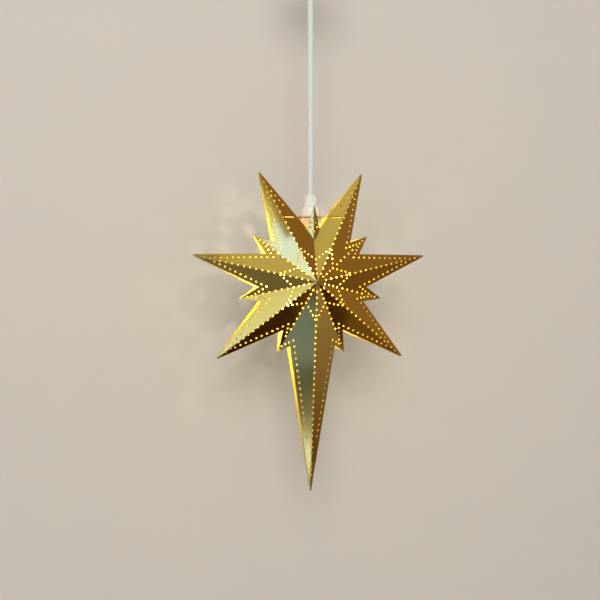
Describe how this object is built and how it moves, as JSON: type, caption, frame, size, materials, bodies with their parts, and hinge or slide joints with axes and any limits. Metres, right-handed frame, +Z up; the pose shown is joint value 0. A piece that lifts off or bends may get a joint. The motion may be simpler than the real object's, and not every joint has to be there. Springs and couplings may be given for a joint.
{
  "type": "pendant star lamp",
  "caption": "Folded star shade of pierced gold sheet with a long lower point, lit from inside, hung by a white cord from a round ceiling cup.",
  "frame": {"origin": "on the ceiling, at the middle of the plate's upper face, over the cord", "axes": "+Z up into the ceiling, the star's front faces -Y, +X to the right seen from the front"},
  "size_m": [0.3396, 0.103, 0.7788],
  "materials": {
    "gold_sheet": "mirror polished, gold coloured sheet",
    "bracket_plate": "plain rolled plate",
    "white_holder": "smooth moulded",
    "white_cord": "smooth extruded",
    "clear_nylon": "natural moulded",
    "socket_ceramic": "unglazed fired",
    "contact_brass": "pressed sheet",
    "zinc_screws": "zinc plated",
    "brown_core": "smooth extruded",
    "blue_core": "smooth extruded",
    "fibre_washer": "pressed fibre",
    "solder_button": "tinned",
    "black_glass": "moulded black glass",
    "cap_metal": "rolled sheet",
    "bulb_glass": "clear blown",
    "lead_wire": "drawn wire",
    "glowing_filament": "coiled wire, glowing",
    "white_fitting": "smooth moulded",
    "zinc_plate": "zinc plated"
  },
  "bodies": {
    "ceiling_fitting": {"ceiling_plate": "zinc_plate", "ceiling_cup": "white_fitting", "cup_side_screws": "zinc_screws", "cord_gland": "white_fitting", "cord_lock_screw": "zinc_screws", "gland_nut": "white_fitting", "cord_tail": "white_cord", "terminal_block": "clear_nylon", "terminal_block_screws": "zinc_screws", "ceiling_live_core": "brown_core", "ceiling_neutral_core": "blue_core"},
    "hanging_cord": {"pendant_cord": "white_cord"},
    "star": {"front_star_half": "gold_sheet", "back_star_half": "gold_sheet", "lampholder_bracket": "bracket_plate", "lampholder_cap": "white_holder", "cord_grip_bush": "clear_nylon", "lampholder_sleeve": "white_holder", "socket_insert": "socket_ceramic", "socket_screw_shell": "contact_brass", "socket_centre_contact": "contact_brass", "socket_side_contact": "contact_brass", "terminal_screws": "zinc_screws", "lamp_live_core": "brown_core", "lamp_neutral_core": "blue_core"},
    "ring_slider": {"ring_washer": "fibre_washer"},
    "ring": {"shade_ring": "white_holder"},
    "bulb_slider": {"bulb_contact_button": "solder_button", "bulb_cap_insulator": "black_glass"},
    "bulb": {"bulb_screw_cap": "cap_metal", "bulb_glass": "bulb_glass", "bulb_stem": "bulb_glass", "lead_wires": "lead_wire", "filament": "glowing_filament"}
  },
  "joints": [
    {"name": "cord_swing", "type": "hinge", "parent": "ceiling_fitting", "child": "hanging_cord", "pos_m": [0, 0, -0.045], "axis": [0, 1, 0], "range_deg": [-12, 12]},
    {"name": "star_turn", "type": "hinge", "parent": "hanging_cord", "child": "star", "pos_m": [0, 0, -0.35], "axis": [0, 0, 1], "range_deg": [-180, 180]},
    {"name": "ring_travel", "type": "slide", "parent": "star", "child": "ring_slider", "axis": [0, 0, -1], "range_m": [0, 0.008]},
    {"name": "ring_turn", "type": "hinge", "parent": "ring_slider", "child": "ring", "pos_m": [0, 0, -0.385], "axis": [0, 0, -1], "range_deg": [0, 1440]},
    {"name": "bulb_travel", "type": "slide", "parent": "star", "child": "bulb_slider", "axis": [0, 0, -1], "range_m": [0, 0.01128]},
    {"name": "bulb_turn", "type": "hinge", "parent": "bulb_slider", "child": "bulb", "pos_m": [0, 0, -0.39], "axis": [0, 0, -1], "range_deg": [0, 1440]}
  ],
  "couplings": [
    {"joint": "ring_travel", "follows": "ring_turn", "m_per_rad": 0.00031831},
    {"joint": "bulb_travel", "follows": "bulb_turn", "m_per_rad": 0.00044882}
  ]
}
